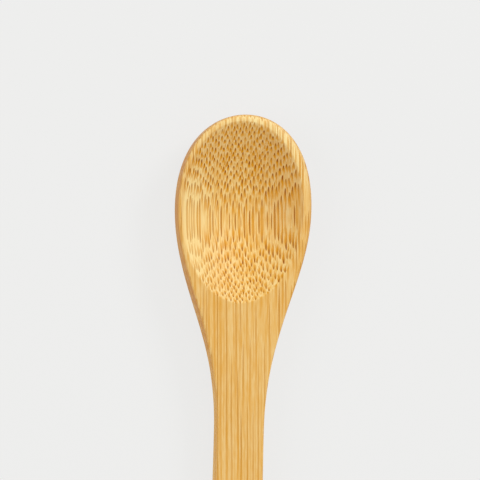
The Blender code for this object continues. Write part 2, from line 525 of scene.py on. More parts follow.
@dataclass
class CarvedSpoon:
    """The spoon: hollow, lip, flat face, handle and rounded back, carved from one lath.

    Attributes:
        shape: The sizes.
        front_rays: Rays from the tip to the bowl's widest place, on each side.
        shoulder_rays: Rays from there to the neck line, on each side.
        neck_columns: Strips between the two sides of the neck and the handle.
        neck_share: Where the neck line crosses the shoulder's stretch of the outline.
        floor_share: Size of the disc that the mesh starts from, as a share of the hollow's reach.
        hollow_rings: Rings of faces from the disc to the lip.
        lip_rings: Rings over the lip.
        face_rings: Rings over the rim.
        neck_lines: Crosswise lines from the neck line to the end of the neck.
        handle_lines: Crosswise lines along the handle.
        tail_lines: Crosswise lines on the tail's rounding; as many before it bend towards its curve.
        tail_corner: Where the last line meets the tail's stretch of the outline.
        halvings: How often the search for a place of the tail halves its range.
        edge_rings: Rings over the top edge's rounding.
        wall_rings: Rings down the wall.
        back_rings: Rings round the back.
        sole_rings: Rings from there to the middle line of the sole.
        arris_start: The share of the top edge's rounding where the dark arris begins.
        lip_arris: How much of an arris the lip has at the front.
        lip_arris_end: Where that has run out, as the backward part of a unit vector.
        weld: The two halves of the sole meet within this distance.
        levels: Levels of subdivision.
    """

    shape: SpoonShape = field(default_factory=SpoonShape)
    front_rays: int = 24
    shoulder_rays: int = 16
    neck_columns: int = 20
    neck_share: float = 0.6
    floor_share: float = 0.08
    hollow_rings: int = 12
    lip_rings: int = 5
    face_rings: int = 3
    neck_lines: int = 10
    handle_lines: int = 16
    tail_lines: int = 5
    tail_corner: float = 0.5
    halvings: int = 40
    edge_rings: int = 4
    wall_rings: int = 3
    back_rings: int = 8
    sole_rings: int = 2
    arris_start: float = 0.2
    lip_arris: float = 0.3
    lip_arris_end: float = 0.6
    weld: float = 0.002 * MM
    levels: int = 1

    def build(self) -> bpy.types.Object:
        """Model the spoon.

        Returns:
            The finished mesh object, at the origin.
        """
        rays = self._rays()
        spoon = self._add_floor(rays)
        self._spread_bowl(spoon, rays)
        self._run_handle(spoon)
        self._turn_down(spoon)
        self._close_sole(spoon)
        self._refine(spoon)
        return spoon

    def dress(self, spoon: bpy.types.Object, finish: "BambooFinish") -> None:
        """Give the spoon its finish."""
        spoon.data.materials.append(finish.material(self.shape))

    def _rays(self) -> list[Ray]:
        """Lay out the rays of the bowl.

        Returns:
            The rays in order round the bowl, from the tip clockwise as seen from above.
        """
        front = self.shape.front()
        shoulder = self.shape.shoulder()
        places = [front.at(share) for share in steps(self.front_rays)]
        places += [shoulder.at(self.neck_share * share) for share in steps(self.shoulder_rays)]
        right = [Ray(RayEnd.OUTLINE, 1.0, place) for place in places]
        left = [Ray(RayEnd.OUTLINE, -1.0, place) for place in reversed(places)]
        shares = [1.0 - 2.0 * i / self.neck_columns for i in range(1, self.neck_columns)]
        neck = [Ray(RayEnd.NECK_LINE, 1.0, places[-1], share) for share in shares]
        return [Ray(RayEnd.OUTLINE, 1.0, front.at(0.0)), *right, *neck, *left]

    def _stations(self) -> list[Vector]:
        """Lay out the crosswise lines of the neck, the handle and the tail.

        Returns:
            The places where they meet the outline, from behind the neck line to the tail's corner.
        """
        shoulder = self.shape.shoulder()
        handle = self.shape.handle()
        tail = self.shape.tail()
        rest = 1.0 - self.neck_share
        places = [shoulder.at(self.neck_share + rest * share) for share in steps(self.neck_lines)]
        places += [handle.at(share) for share in steps(self.handle_lines)]
        places += [tail.at(self.tail_corner * share) for share in steps(self.tail_lines)]
        return places

    def _add_floor(self, rays: list[Ray]) -> bpy.types.Object:
        """A small disc at the bottom of the hollow, with one corner on each ray.

        Args:
            rays: The rays of the bowl.

        Returns:
            The new object, in edit mode, its edge selected.
        """
        deselect_all()
        middle = self.shape.bowl_centre() + Vector((0.0, self.shape.deepest_back))
        centre = self.shape.on_face(middle, self.shape.hollow_depth)
        bpy.ops.mesh.primitive_circle_add(
            vertices=len(rays), radius=MM, fill_type="TRIFAN", location=centre, enter_editmode=False
        )
        spoon = bpy.context.object
        spoon.name = "carved_spoon"
        bpy.ops.object.transform_apply(location=True, rotation=True, scale=True)
        bpy.ops.object.mode_set(mode="EDIT")
        bpy.ops.mesh.select_mode(type="EDGE")
        bm = bmesh.from_edit_mesh(spoon.data)
        number = bm.verts.layers.int.new("ray")
        for name in ("outline_side", "outline_behind", "scooped", "arris"):
            bm.verts.layers.float.new(name)
        scooped = bm.verts.layers.float["scooped"]
        # Each corner of the disc's edge gets the number of its ray, clockwise from the tip.
        bearings = {
            vertex: math.atan2(vertex.co.x - centre.x, vertex.co.y - centre.y) % math.tau
            for vertex in bm.verts
            if vertex.is_boundary
        }
        for vertex in bm.verts:
            vertex[scooped] = 1.0
        for i, vertex in enumerate(sorted(bearings, key=bearings.get)):
            vertex[number] = i
            vertex.co = self.shape.in_hollow(rays[i].direction(self.shape), self.floor_share)
        self._pick_open_edges(spoon)
        return spoon

    @staticmethod
    def _pick_open_edges(spoon: bpy.types.Object, numbers: range | None = None) -> None:
        """Select the open edges of the mesh, and nothing else.

        Args:
            spoon: The object in edit mode.
            numbers: The numbers of the rays whose edges are picked, or None for all of them.
        """
        bm = bmesh.from_edit_mesh(spoon.data)
        number = bm.verts.layers.int["ray"]
        for edge in bm.edges:
            wanted = numbers is None or all(vertex[number] in numbers for vertex in edge.verts)
            edge.select_set(edge.is_boundary and wanted)
        bmesh.update_edit_mesh(spoon.data)

    @staticmethod
    def _grow(spoon: bpy.types.Object) -> Iterator[NewCorner]:
        """Extrude the selected edges, and hand out the new corners to be placed.

        Args:
            spoon: The object in edit mode.

        Returns:
            The new corners one by one, each with the mesh's layers of values.
        """
        bpy.ops.mesh.extrude_edges_move()
        bm = bmesh.from_edit_mesh(spoon.data)
        for vertex in bm.verts:
            if vertex.select:
                yield vertex, bm.verts.layers
        bmesh.update_edit_mesh(spoon.data)

    def _spread_bowl(self, spoon: bpy.types.Object, rays: list[Ray]) -> None:
        """Extrude the disc's edge up the hollow, over the lip and out over the top face.

        Args:
            spoon: The object in edit mode, the disc's edge selected.
            rays: The rays of the bowl.
        """
        shape = self.shape
        directions = [ray.direction(shape) for ray in rays]
        feet = [ray.foot(shape) for ray in rays]
        lip_starts = [shape.lip_start(foot) for foot in feet]
        worn = [self.lip_arris * (1.0 - smooth(0.0, self.lip_arris_end, way.y)) for way in directions]
        for share in steps(self.hollow_rings):
            for vertex, layers in self._grow(spoon):
                i = vertex[layers.int["ray"]]
                reached = self.floor_share + (lip_starts[i] - self.floor_share) * share
                vertex.co = shape.in_hollow(directions[i], reached)
        for share in steps(self.lip_rings):
            for vertex, layers in self._grow(spoon):
                i = vertex[layers.int["ray"]]
                vertex[layers.float["scooped"]] = 1.0 - share
                vertex[layers.float["arris"]] = worn[i] * math.sin(math.pi * share)
                vertex.co = shape.lip(feet[i], share)
        for share in steps(self.face_rings):
            for vertex, layers in self._grow(spoon):
                i = vertex[layers.int["ray"]]
                vertex[layers.float["outline_side"]] = rays[i].side * rays[i].outline.x
                vertex[layers.float["outline_behind"]] = rays[i].outline.y
                vertex.co = shape.lip(feet[i], 1.0).lerp(shape.on_face(feet[i]), share)

    def _run_handle(self, spoon: bpy.types.Object) -> None:
        """Extrude the neck line's edges along the handle to the rounded tail.

        Args:
            spoon: The object in edit mode.
        """
        shape = self.shape
        first = self.front_rays + self.shoulder_rays
        numbers = range(first, first + self.neck_columns + 1)
        self._pick_open_edges(spoon, numbers)
        stations = self._stations()
        # The last lines bend more and more, from straight across to the tail's own curve.
        bend_start = stations[-2 * self.tail_lines]
        corner = stations[-1]
        for station in stations:
            bent = max((station.y - bend_start.y) / (corner.y - bend_start.y), 0.0)
            at_end = station is corner
            for vertex, layers in self._grow(spoon):
                share = 1.0 - 2.0 * numbers.index(vertex[layers.int["ray"]]) / self.neck_columns
                side = math.copysign(1.0, share)
                bulge = self._tail_place(abs(share))
                inner = shape.top_inset(station, side)
                bulge_length = shape.top_inset(bulge, side).y - shape.top_inset(corner, side).y
                if at_end or abs(share) == 1.0:
                    belongs = bulge if at_end else station
                    vertex[layers.float["outline_side"]] = side * belongs.x
                    vertex[layers.float["outline_behind"]] = belongs.y
                vertex.co = shape.on_face(Vector((share * inner.x, inner.y + bent * bulge_length)))

    def _tail_place(self, share: float) -> Vector:
        """A place of the tail's outline, found by halving.

        Args:
            share: How far out it lies, as a share of the half width at the tail's corner.

        Returns:
            The place, on the right half.
        """
        tail = self.shape.tail()
        wanted = share * tail.at(self.tail_corner).x
        low, high = self.tail_corner, 1.0
        for _ in range(self.halvings):
            middle = (low + high) / 2
            low, high = (middle, high) if tail.at(middle).x > wanted else (low, middle)
        return tail.at((low + high) / 2)

    def _column(self, point: Vector, side: float) -> list[tuple[Vector, float]]:
        """The skin below one place of the outline: inner places and heights from the top to the sole.

        Args:
            point: The place on the outline, on the right half.
            side: 1 for the right half, -1 for the left.

        Returns:
            The place on the right half and the height of each ring.
        """
        shape = self.shape
        wall = shape.top_height(point.y) - shape.under_height(point.y)
        drop = min(shape.top_edge_drop, shape.most_rounding * wall / 2)
        run, along, rise = shape.under_rounding(point)
        rise = min(rise, shape.most_rounding * (wall - drop))
        rings = [shape.top_edge(point, side, math.pi / 2 * share, drop) for share in steps(self.edge_rings)]
        wall_top = rings[-1][1]
        wall_foot = shape.under_height(point.y) + rise
        for share in steps(self.wall_rings):
            rings.append((point, wall_top + (wall_foot - wall_top) * share))
        for share in steps(self.back_rings):
            angle = math.pi / 2 * share
            inwards = 1.0 - math.cos(angle)
            place = shape.inset(point, run * inwards, along * inwards)
            rings.append((place, shape.under_height(place.y) + rise * (1.0 - math.sin(angle))))
        sole, height = rings[-1]
        for share in steps(self.sole_rings):
            rings.append((Vector((sole.x * (1.0 - share), sole.y)), height))
        return rings

    def _turn_down(self, spoon: bpy.types.Object) -> None:
        """Extrude the face's outline over its edge, down the wall, round the back and under the sole.

        Args:
            spoon: The object in edit mode.
        """
        self._pick_open_edges(spoon)
        # One column of rings for each place of the outline, worked out when it is first met.
        columns: dict[tuple[float, float], list[tuple[Vector, float]]] = {}
        for ring in range(self.edge_rings + self.wall_rings + self.back_rings + self.sole_rings):
            arris = self._arris_share(ring)
            for vertex, layers in self._grow(spoon):
                side = vertex[layers.float["outline_side"]]
                behind = vertex[layers.float["outline_behind"]]
                key = (side, behind)
                if key not in columns:
                    columns[key] = self._column(Vector((abs(side), behind)), math.copysign(1.0, side))
                place, height = columns[key][ring]
                vertex[layers.float["arris"]] = arris
                vertex.co = (math.copysign(place.x, side), self.shape.length / 2 - place.y, height)

    def _arris_share(self, ring: int) -> float:
        """How much of an arris there is at a ring: it grows over the top edge and is gone below it."""
        way = (ring + 1) / self.edge_rings
        return smooth(self.arris_start, 1.0, way) if way <= 1.0 else 0.0

    def _close_sole(self, spoon: bpy.types.Object) -> None:
        """Weld the two halves of the sole on the middle line, and turn all faces outwards.

        Args:
            spoon: The object in edit mode, which it leaves.
        """
        bpy.ops.mesh.select_all(action="SELECT")
        bpy.ops.mesh.remove_doubles(threshold=self.weld)
        bpy.ops.mesh.normals_make_consistent(inside=False)
        bpy.ops.object.mode_set(mode="OBJECT")
        for name in ("ray", "outline_side", "outline_behind"):
            spoon.data.attributes.remove(spoon.data.attributes[name])

    def _refine(self, spoon: bpy.types.Object) -> None:
        """Subdivide the carved form and shade it smooth.

        Args:
            spoon: The object, out of edit mode.
        """
        subdivision = spoon.modifiers.new("fine surface", "SUBSURF")
        subdivision.levels = self.levels
        subdivision.render_levels = self.levels
        bpy.context.view_layer.objects.active = spoon
        spoon.select_set(True)
        bpy.ops.object.modifier_apply(modifier=subdivision.name)
        bpy.ops.object.shade_smooth()


class Value:
    """What a node gives. Operators on numbers that vary over a surface add Math nodes to them."""

    def __init__(self, bench: "Bench", socket: bpy.types.NodeSocket) -> None:
        """Wrap a socket of the bench's nodes."""
        self.bench = bench
        self.socket = socket

    def __add__(self, other: "Value | float") -> "Value":
        """The sum."""
        return self.bench.maths("ADD", self, other)

    def __radd__(self, other: float) -> "Value":
        """The sum, with the number first."""
        return self.bench.maths("ADD", other, self)

    def __sub__(self, other: "Value | float") -> "Value":
        """The difference."""
        return self.bench.maths("SUBTRACT", self, other)

    def __rsub__(self, other: float) -> "Value":
        """The difference, with the number first."""
        return self.bench.maths("SUBTRACT", other, self)

    def __mul__(self, other: "Value | float") -> "Value":
        """The product."""
        return self.bench.maths("MULTIPLY", self, other)

    def __rmul__(self, other: float) -> "Value":
        """The product, with the number first."""
        return self.bench.maths("MULTIPLY", other, self)

    def __truediv__(self, other: "Value | float") -> "Value":
        """The quotient."""
        return self.bench.maths("DIVIDE", self, other)

    def __rtruediv__(self, other: float) -> "Value":
        """The quotient, with the number first."""
        return self.bench.maths("DIVIDE", other, self)

    def __pow__(self, other: "Value | float") -> "Value":
        """The power."""
        return self.bench.maths("POWER", self, other)

    def __abs__(self) -> "Value":
        """The size without its sign."""
        return self.bench.maths("ABSOLUTE", self)


class Bench:
    """The nodes of a material or of the room, and the one way in which they are made."""

    def __init__(self, owner: bpy.types.Material | bpy.types.World) -> None:
        """Start without nodes.

        Args:
            owner: The material or the world that the nodes belong to.
        """
        owner.use_nodes = True
        self.tree = owner.node_tree
        self.tree.nodes.clear()

    def node(self, kind: str, settings: Settings, inputs: Inputs) -> bpy.types.Node:
        """Add a node.

        Args:
            kind: The node's type.
            settings: Its own settings, by name, set before its sockets.
            inputs: A number, colour, vector or Value for each socket, by name or number.

        Returns:
            The node.
        """
        node = self.tree.nodes.new(kind)
        for name, setting in settings.items():
            setattr(node, name, setting)
        for key, given in inputs.items():
            if isinstance(given, Value):
                self.tree.links.new(given.socket, node.inputs[key])
            else:
                node.inputs[key].default_value = given
        return node

    def value(self, kind: str, settings: Settings, inputs: Inputs, output: str | int = 0) -> Value:
        """Add a node, and give the output of this name or number."""
        return Value(self, self.node(kind, settings, inputs).outputs[output])

    def maths(self, operation: str, *terms: Value | float) -> Value:
        """A Math node on up to three terms."""
        return self.value("ShaderNodeMath", {"operation": operation}, dict(enumerate(terms)))

    def step(self, start: float, end: float, value: Value) -> Value:
        """A soft step from 0 at start to 1 at end."""
        inputs = {"Value": value, "From Min": start, "From Max": end}
        return self.value("ShaderNodeMapRange", {"interpolation_type": "SMOOTHSTEP"}, inputs)

    def vector(self, x: Value | float, y: Value | float, z: Value | float) -> Value:
        """A vector from three numbers."""
        return self.value("ShaderNodeCombineXYZ", {}, {"X": x, "Y": y, "Z": z})

    def parts(self, vector: Value) -> tuple[Value, Value, Value]:
        """The three numbers of a vector or a colour."""
        node = self.node("ShaderNodeSeparateXYZ", {}, {"Vector": vector})
        return tuple(Value(self, output) for output in node.outputs)

    def mix(self, factor: Value | float, first: Value | Colour, second: Value | Colour) -> Value:
        """A colour between two others, the second where the factor is 1."""
        inputs = {MIX_FACTOR: factor, MIX_FIRST: first, MIX_SECOND: second}
        return self.value("ShaderNodeMix", {"data_type": "RGBA", "clamp_factor": True}, inputs, MIX_RESULT)

    def noise(self, vector: Value) -> Value:
        """A smooth random number from about 0 to 1, one swing for each unit of the vector."""
        inputs = {"Vector": vector, "Scale": 1.0, "Detail": 1.0, "Roughness": 0.5}
        return self.value("ShaderNodeTexNoise", {"noise_dimensions": "3D"}, inputs, "Fac")

    def finish(self, kind: str, shader: Value) -> None:
        """Send a shader to an output node of this type."""
        self.node(kind, {}, {"Surface": shader})


@dataclass(frozen=True)
class Grain:
    """A random pattern drawn out along the spoon; the sizes of one swing, in millimetres.

    Attributes:
        across: Size to the right.
        along: Size along the spoon.
        up: Size upwards.
    """

    across: float
    along: float
    up: float

    def at(self, bench: Bench, across: Value, along: Value, up: Value) -> Value:
        """The pattern at a place, from about 0 to 1."""
        return bench.noise(bench.vector(across / self.across, along / self.along, up / self.up))


@dataclass(frozen=True)
class Marks:
    """What one set of bundles shows at each point of a cut.

    Attributes:
        whole: How much of a bundle there is.
        core: How much of a bundle's dark, hard side there is.
    """

    whole: Value
    core: Value


@dataclass(frozen=True)
class Bundles:
    """Fibre bundles as they stand in the culm's cross-section, in staggered rows; sizes in millimetres.

    Attributes:
        pitch: From one bundle to the next in a row.
        rows: From one row to the next but one, which stands in line with it.
        unevenness: How far each strays from its place, from 0 to 1.
        width: Width of a bundle at its soft foot.
        height: From its pointed hard side to its soft foot.
        least_height: The height of the lowest, as a share of that.
        height_range: How much more of it the highest have.
        middle: Where in a bundle its place in the row lies, from 0 at its point to 1 at its foot.
        point: How wide its point is, as a share of its height before it is rounded.
        swell: How it widens from its point: 1 for a wedge, less for a drop.
        dark_share: How much of its height the dark side takes.
        tip_edge: How the point fades in, as shares of the height.
        foot_edge: How the foot fades out, as shares of the height.
        side_edge: How the sides fade out, as shares of the half width.
        core_side_edge: The same for the dark side.
        core_foot_edge: How the dark side fades out, as shares of its part of the height.
        faintest: The least strength that a bundle shows.
        faintest_core: The least strength of a dark side.
        core_range: How much stronger the darkest are.
        offset: Moves the rows, so that two sets don't line up.
    """

    pitch: float = 0.88
    rows: float = 0.55
    unevenness: float = 0.42
    width: float = 0.50
    height: float = 0.36
    least_height: float = 0.7
    height_range: float = 0.5
    middle: float = 0.45
    point: float = 0.04
    swell: float = 0.55
    dark_share: float = 0.55
    tip_edge: Span = (-0.05, 0.06)
    foot_edge: Span = (0.7, 1.15)
    side_edge: Span = (0.7, 1.02)
    core_side_edge: Span = (0.5, 0.95)
    core_foot_edge: Span = (0.3, 1.4)
    faintest: float = 0.7
    faintest_core: float = 0.55
    core_range: float = 0.5
    offset: tuple[float, float] = (0.0, 0.0)

    def marks(self, bench: Bench, across: Value, up: Value) -> Marks:
        """Draw the bundles.

        Args:
            bench: The material's nodes.
            across: Place across the culm's wall, in millimetres.
            up: Place towards the culm's skin, in millimetres.

        Returns:
            The marks.
        """
        across = across + self.offset[0]
        up = up + self.offset[1]
        # The pattern's square grid is turned on its corner, which staggers the rows.
        column = across / self.pitch
        row = up / self.rows
        cells = bench.node(
            "ShaderNodeTexVoronoi",
            {"voronoi_dimensions": "2D", "feature": "F1"},
            {
                "Vector": bench.vector(row + column, row - column, 0.0),
                "Scale": 1.0,
                "Randomness": self.unevenness,
            },
        )
        # Each bundle has a cell, which gives its place and three random numbers of its own.
        first, second, _ = bench.parts(Value(bench, cells.outputs["Position"]))
        chance, core_chance, height_chance = bench.parts(Value(bench, cells.outputs["Color"]))
        sideways = across - (first - second) * (self.pitch / 2)
        upwards = up - (first + second) * (self.rows / 2)
        height = self.height * (self.least_height + self.height_range * height_chance)
        down = self.middle - upwards / height
        widening = (bench.maths("MAXIMUM", down, 0.0) + self.point) ** self.swell
        reach = abs(sideways) / (widening * (self.width / 2))
        tip = bench.step(*self.tip_edge, down)
        foot = 1.0 - bench.step(*self.foot_edge, down)
        hard_start, hard_end = (self.dark_share * share for share in self.core_foot_edge)
        hard = 1.0 - bench.step(hard_start, hard_end, down)
        strength = self.faintest + (1.0 - self.faintest) * chance
        core_strength = strength * (self.faintest_core + self.core_range * core_chance)
        whole = (1.0 - bench.step(*self.side_edge, reach)) * tip * foot * strength
        core = (1.0 - bench.step(*self.core_side_edge, reach)) * tip * hard * core_strength
        return Marks(whole, core)


@dataclass(frozen=True)
class Cut:
    """The carved surface as the finish reads it; places in millimetres.

    Attributes:
        x: Place to the right.
        y: Place towards the tip.
        z: Height.
        across: Place across the culm's wall.
        up: Place towards the culm's skin.
        scooped: 1 in the hollow, 0 outside it, and between the two over the lip.
        arris: How much of an arris there is.
        bowl: 0 along the handle, 1 along the bowl.
        wall: How much of the outer wall there is, under the top edge.
    """

    x: Value
    y: Value
    z: Value
    across: Value
    up: Value
    scooped: Value
    arris: Value
    bowl: Value
    wall: Value


@dataclass(frozen=True)
class BambooFinish:
    """Bare sanded bamboo, straight-grained, with its bundles cut by the carving; grain in millimetres.

    Attributes:
        ground: The wood between the bundles.
        pale_ground: Its pale streaks.
        toned: What the face and the walls are toned with.
        wall: What the outer wall is darkened with, partly its own saw-cut tone and partly painted shade;
            also the painted shade up the front of the hollow.
        worn: The pale colour of the rim and of the left of the hollow: partly worn wood, partly painted
            highlight where the key lamp's light falls.
        amber: The soft part of a bundle.
        brown: Its dark side.
        arris: The dark arris of the top edge.
        lean: How far the fibres run to the right on their way to the tail, in degrees.
        dip: How far the fibres of the handle rise on their way to the tip, in degrees.
        wander: How far the fibres stray from straight.
        wandering: The pattern in which they stray.
        wave: How far the rows of bundles rise and fall, from their lowest to their highest.
        waves: The pattern in which they rise and fall.
        wave_start: Moves that pattern sideways.
        culm_radius: Radius of the culm at the rows.
        bow: How far the rows sink towards the tip.
        bow_along: Where they do.
        bundles: The bundles that show most.
        small_bundles: Faint ones between them.
        small_strength: How strongly those show.
        small_core: How strongly their dark sides show.
        fine: Pattern of the finest streaks.
        fine_share: Their share of the streaks.
        fibres: Pattern of the middle streaks.
        fibre_share: Their share.
        broad: Pattern of the broad streaks.
        broad_share: Their share.
        streak_edge: How sharp the streaks are.
        face_contrast: How strong they are outside the hollow.
        bowl_along: Where the handle's looks turn into the bowl's.
        wall_below: Where the wall's looks begin, under the face.
        handle_wall: How strong they are along the handle.
        face_strength: How strongly the bundles show outside the hollow, against how they show in it.
        floor_strength: How strongly they show in the hollow.
        front_strength: How much more they show up its front.
        front_start: Where that begins.
        front_end: Where that ends.
        face_core: How strongly their dark sides show on the face, in the same way.
        left_across: Where the left side of the hollow ends.
        faint_along: Where the faint bundles there end.
        faint_loss: How much fainter they are.
        faint_core_loss: How much fainter still their dark sides are.
        left_wear_and_sheen_along: Where the pale wear and painted highlight there end.
        left_wear_and_sheen_share: How strong they are.
        tone_share: How much the face and the walls are toned.
        shade_tint_across: Where the painted shade on the right of the hollow's front begins, a deeper,
            warmer tint.
        shade_tint_along: The same along the spoon.
        shade_tint_share: How much of the arris's colour that painted shade takes.
        bands: Pattern of the wall's bands.
        band_edge: How sharp they are.
        darkening_share: How strongly the wall's colour is mixed in, on the outer wall and in the painted
            shade up the front of the hollow.
        least_band: The wall's share of that between its bands.
        band_range: How much more the bands have.
        front_shade_along: Where the painted shade up the front of the hollow begins.
        front_shade_share: How much of the wall's darkness that painted shade gets.
        rim_along: Where the rim gets pale towards the tip, with wear and painted highlight.
        rim_up: How high it has to be for that.
        rim_across: Where that gets stronger towards the right, towards the key lamp.
        rim_left: How strong it is on the left.
        least_wear_and_sheen: How pale the rim is between its streaks.
        streak_wear_and_sheen: How much paler they are.
        arris_share: How dark the arris is.
        bowl_arris: How much darker it is along the bowl; along the handle it is left paler, as painted
            light on that edge.
        lit_arris: How much paler it is on the handle's right, as painted highlight where the key lamp
            falls.
        lit_across: Where that begins.
        roughness: Roughness between the bundles.
        fine_roughness: How much it varies with the finest streaks.
        bundle_roughness: How much rougher the bundles are.
        shine: Level of the clear reflection.
        bump_depth: Height of the surface's relief, in metres.
        bump_strength: How strongly it shows.
        fine_relief: The finest streaks' share of it.
        bundle_relief: How deep the bundles lie in it.
    """

    ground: Colour = paint(235, 182, 86)
    pale_ground: Colour = paint(249, 221, 154)
    toned: Colour = paint(222, 146, 48)
    wall: Colour = paint(168, 95, 68)
    worn: Colour = paint(255, 232, 166)
    amber: Colour = paint(220, 148, 0)
    brown: Colour = paint(144, 68, 0)
    arris: Colour = paint(198, 126, 32)

    lean: float = 1.3
    dip: float = 1.5
    wander: float = 0.25
    wandering: Grain = Grain(9.0, 24.0, 9.0)
    wave: float = 0.9
    waves: Grain = Grain(3.0, 40.0, 9.0)
    wave_start: float = 120.0
    culm_radius: float = 36.0
    bow: float = 0.8
    bow_along: Span = (18.0, 32.0)

    bundles: Bundles = Bundles()
    small_bundles: Bundles = Bundles(
        unevenness=0.7, width=0.30, height=0.25, dark_share=0.4, faintest=0.2, offset=(0.44, 0.0)
    )
    small_strength: float = 0.9
    small_core: float = 0.7

    fine: Grain = Grain(0.17, 1.8, 0.25)
    fine_share: float = 0.5
    fibres: Grain = Grain(0.3, 6.0, 0.35)
    fibre_share: float = 0.32
    broad: Grain = Grain(1.7, 30.0, 1.7)
    broad_share: float = 0.18
    streak_edge: Span = (0.3, 0.7)
    face_contrast: float = 0.7

    bowl_along: Span = (2.0, 18.0)
    wall_below: Span = (0.3, 0.8)
    handle_wall: float = 0.1
    face_strength: float = 0.6
    floor_strength: float = 0.92
    front_strength: float = 0.2
    front_start: Span = (33.0, 38.0)
    front_end: Span = (39.5, 43.0)
    face_core: float = 0.6
    left_across: Span = (-9.0, -2.5)
    faint_along: Span = (30.5, 35.5)
    faint_loss: float = 0.4
    faint_core_loss: float = 0.35
    left_wear_and_sheen_along: Span = (33.0, 40.0)
    left_wear_and_sheen_share: float = 0.8

    tone_share: float = 0.22
    shade_tint_across: Span = (0.0, 5.0)
    shade_tint_along: Span = (24.0, 32.0)
    shade_tint_share: float = 0.18
    bands: Grain = Grain(0.9, 7.0, 0.45)
    band_edge: Span = (0.35, 0.65)
    darkening_share: float = 0.42
    least_band: float = 0.6
    band_range: float = 0.8
    front_shade_along: Span = (33.0, 42.0)
    front_shade_share: float = 0.4
    rim_along: Span = (29.0, 42.0)
    rim_up: Span = (5.4, 6.2)
    rim_across: Span = (-8.0, 2.0)
    rim_left: float = 0.5
    least_wear_and_sheen: float = 0.3
    streak_wear_and_sheen: float = 0.9
    arris_share: float = 0.35
    bowl_arris: float = 0.3
    lit_arris: float = 0.3
    lit_across: Span = (-2.0, 3.0)

    roughness: float = 0.48
    fine_roughness: float = 0.15
    bundle_roughness: float = 0.1
    shine: float = 0.25
    bump_depth: float = 0.02 * MM
    bump_strength: float = 0.5
    fine_relief: float = 0.3
    bundle_relief: float = 0.7

    def material(self, shape: SpoonShape) -> bpy.types.Material:
        """Make the material.

        Args:
            shape: The sizes of the spoon that it is made for.

        Returns:
            The bamboo.
        """
        material = bpy.data.materials.new("bamboo")
        bench = Bench(material)
        cut = self._cut(bench, shape)
        fine = self.fine.at(bench, cut.across, cut.y, cut.up)
        large = self.bundles.marks(bench, cut.across, cut.up)
        small = self.small_bundles.marks(bench, cut.across, cut.up)
        strength, core_strength = self._strengths(bench, cut)
        colour = self._wood(bench, cut, self._streaks(bench, cut, fine))
        colour = bench.mix(small.whole * strength * self.small_strength, colour, self.amber)
        colour = bench.mix(small.core * core_strength * self.small_core, colour, self.brown)
        colour = bench.mix(large.whole * strength, colour, self.amber)
        colour = bench.mix(large.core * core_strength, colour, self.brown)
        # Painted light: the arris is paler along the handle, and palest on the handle's right, where the
        # key lamp falls.
        lit = bench.step(*self.lit_across, cut.x) * (1.0 - cut.bowl)
        arris_share = self.arris_share + self.bowl_arris * cut.bowl - self.lit_arris * lit
        colour = bench.mix(cut.arris * arris_share, colour, self.arris)
        roughness = self.roughness + (fine - 0.5) * self.fine_roughness
        relief = {
            "Strength": self.bump_strength,
            "Distance": self.bump_depth,
            "Height": fine * self.fine_relief - large.whole * self.bundle_relief,
        }
        surface = {
            "Base Color": colour,
            "Roughness": roughness + large.whole * self.bundle_roughness,
            "Normal": bench.value("ShaderNodeBump", {}, relief),
            "Metallic": 0.0,
            "Specular IOR Level": self.shine,
        }
        bench.finish("ShaderNodeOutputMaterial", bench.value("ShaderNodeBsdfPrincipled", {}, surface))
        return material

    def _cut(self, bench: Bench, shape: SpoonShape) -> Cut:
        """Read the place, the grain's own coordinates and what the mesh keeps.

        Args:
            bench: The material's nodes.
            shape: The spoon's sizes.

        Returns:
            The surface.
        """
        place = bench.value("ShaderNodeTexCoord", {}, {}, "Object")
        x, y, z = (part / MM for part in bench.parts(place))
        # Along one fibre `across` and `up` stay the same, wherever the carving cuts it.
        drift = self.wandering.at(bench, x, y, z) - 0.5
        rise = self.waves.at(bench, x + self.wave_start, y, z) - 0.5
        across = x + y * math.tan(math.radians(self.lean)) + drift * self.wander * 2.0
        up = z - y * math.tan(math.radians(self.dip)) + rise * self.wave
        up = up - x * x / (2.0 * self.culm_radius) + bench.step(*self.bow_along, y) * self.bow
        scooped = bench.value("ShaderNodeAttribute", {"attribute_name": "scooped"}, {}, "Fac")
        arris = bench.value("ShaderNodeAttribute", {"attribute_name": "arris"}, {}, "Fac")
        bowl = bench.step(*self.bowl_along, y)
        face = shape.top_height(shape.length / 2) / MM + y * shape.top_slope()
        outside = bench.step(*self.wall_below, face - z) * (1.0 - scooped)
        wall = outside * (self.handle_wall + (1.0 - self.handle_wall) * bowl)
        return Cut(x, y, z, across, up, scooped, arris, bowl, wall)

    def _streaks(self, bench: Bench, cut: Cut, fine: Value) -> Value:
        """Pale streaks along the fibres.

        Args:
            bench: The material's nodes.
            cut: The surface.
            fine: The finest of them.

        Returns:
            How pale the wood is, from 0 to 1.
        """
        fibres = self.fibres.at(bench, cut.across, cut.y, cut.up)
        broad = self.broad.at(bench, cut.across, cut.y, cut.up)
        mixed = fine * self.fine_share + fibres * self.fibre_share + broad * self.broad_share
        contrast = self.face_contrast + (1.0 - self.face_contrast) * cut.scooped
        return 0.5 + (bench.step(*self.streak_edge, mixed) - 0.5) * contrast

    def _left(self, bench: Bench, cut: Cut, along: Span) -> Value:
        """The left side of the hollow, up to where it ends towards the tip."""
        side = (1.0 - bench.step(*self.left_across, cut.x)) * cut.scooped
        return side * (1.0 - bench.step(*along, cut.y))

    def _strengths(self, bench: Bench, cut: Cut) -> tuple[Value, Value]:
        """How strongly the bundles show over the spoon.

        Args:
            bench: The material's nodes.
            cut: The surface.

        Returns:
            The strength of the bundles, and of their dark sides.
        """
